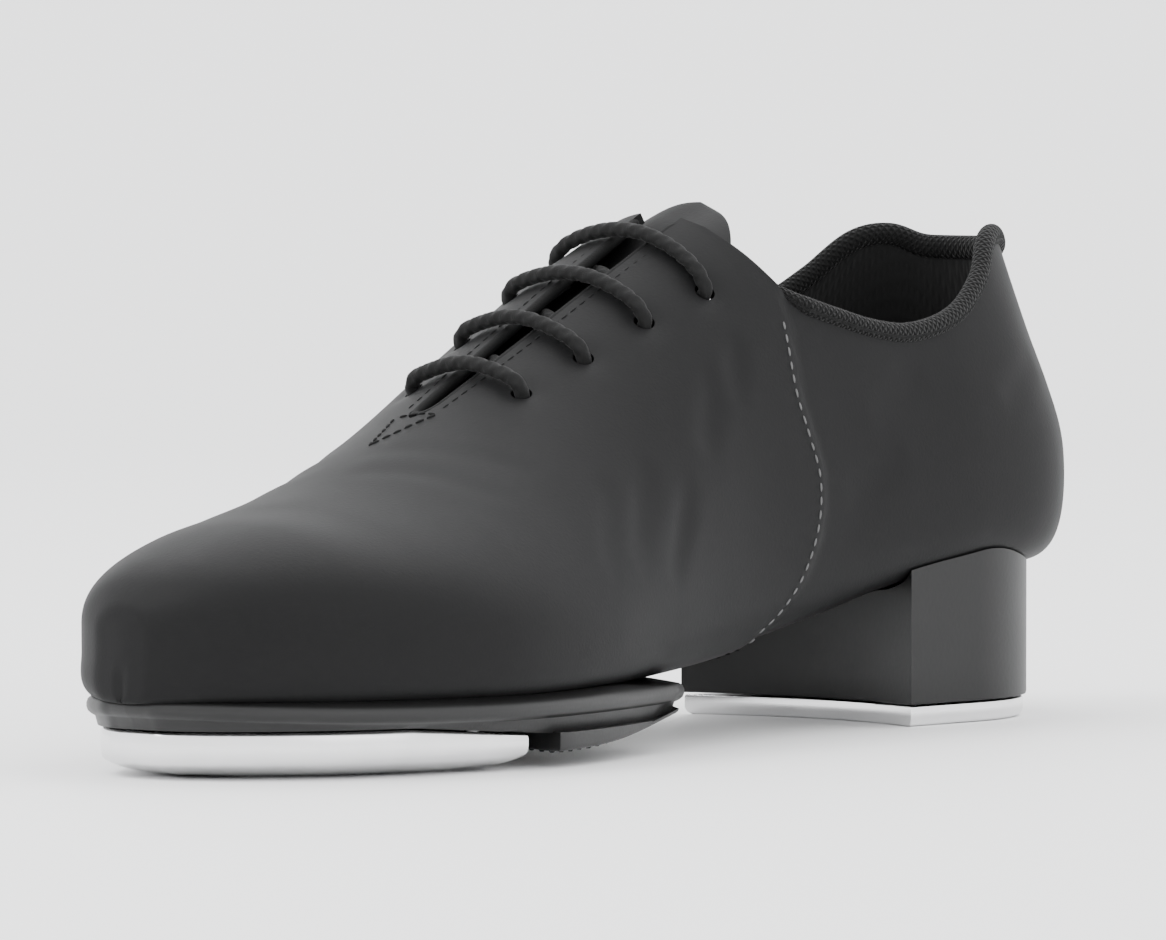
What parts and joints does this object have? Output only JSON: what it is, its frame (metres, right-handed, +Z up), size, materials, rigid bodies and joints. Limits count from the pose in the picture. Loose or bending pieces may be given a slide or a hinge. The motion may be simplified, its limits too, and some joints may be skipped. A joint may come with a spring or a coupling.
{
  "type": "tap shoe",
  "caption": "Lace-up split-sole tap shoe with a leather upper, rubber forefoot tread, block heel and screwed-on toe and heel taps; stands on its taps.",
  "frame": {"origin": "middle of the shoe's footprint, on the floor that its taps rest on", "axes": "+Y from the heel to the toe, +X to the wearer's right, which is the outer side of this right shoe, +Z up"},
  "size_m": [0.0894, 0.2316, 0.088],
  "materials": {
    "upper_leather": "smooth matte black leather",
    "tongue_leather": "smooth matte black leather",
    "binding_cloth": "soft matte black knit binding",
    "insole_cloth": "matte black cloth",
    "lace_cotton": "matte black braided cotton",
    "sole_rubber": "satin black rubber",
    "heel_rubber": "satin black rubber",
    "tap_metal": "polished",
    "screw_steel": "bright zinc"
  },
  "bodies": {
    "root": {"upper": "upper_leather", "tongue": "tongue_leather", "collar_binding": "binding_cloth", "insole": "insole_cloth", "lace": "lace_cotton", "forefoot_sole": "sole_rubber", "heel_block": "heel_rubber", "toe_tap": "tap_metal", "heel_tap": "tap_metal", "toe_screw_1": "screw_steel", "toe_screw_2": "screw_steel", "toe_screw_3": "screw_steel", "heel_screw_1": "screw_steel", "heel_screw_2": "screw_steel", "heel_screw_3": "screw_steel"}
  },
  "joints": []
}
